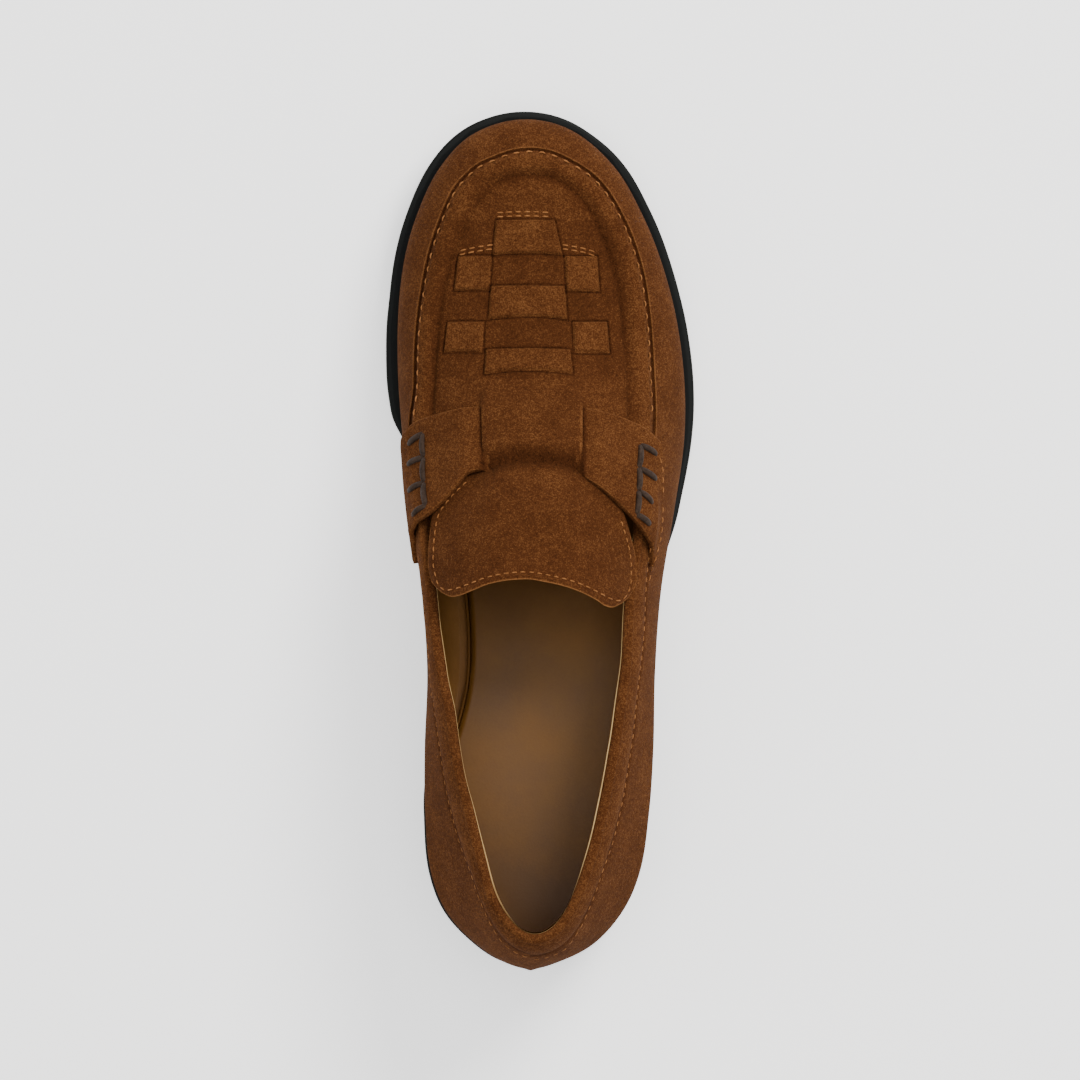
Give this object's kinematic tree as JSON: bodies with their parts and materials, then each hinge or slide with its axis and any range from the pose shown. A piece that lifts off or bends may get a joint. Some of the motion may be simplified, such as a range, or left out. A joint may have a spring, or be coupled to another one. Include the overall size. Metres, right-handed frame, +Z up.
{
  "type": "loafer",
  "caption": "Right suede moccasin loafer with a woven apron, a laced saddle strap over a tongue, an open collar and a low-heeled rubber unit sole.",
  "frame": {"origin": "On the ground, at the centre of the shoe's bounding box in plan.", "axes": "+Y towards the toe, +X towards the outer (lateral) side of this right shoe, +Z up."},
  "size_m": [0.0954, 0.2666, 0.0871],
  "materials": {
    "brown_suede": "napped suede",
    "tan_leather": "smooth",
    "black_rubber": "satin"
  },
  "bodies": {
    "root": {"outsole": "black_rubber", "insole": "tan_leather", "upper": "brown_suede", "apron": "brown_suede", "saddle": "brown_suede", "tongue": "brown_suede"}
  },
  "joints": []
}
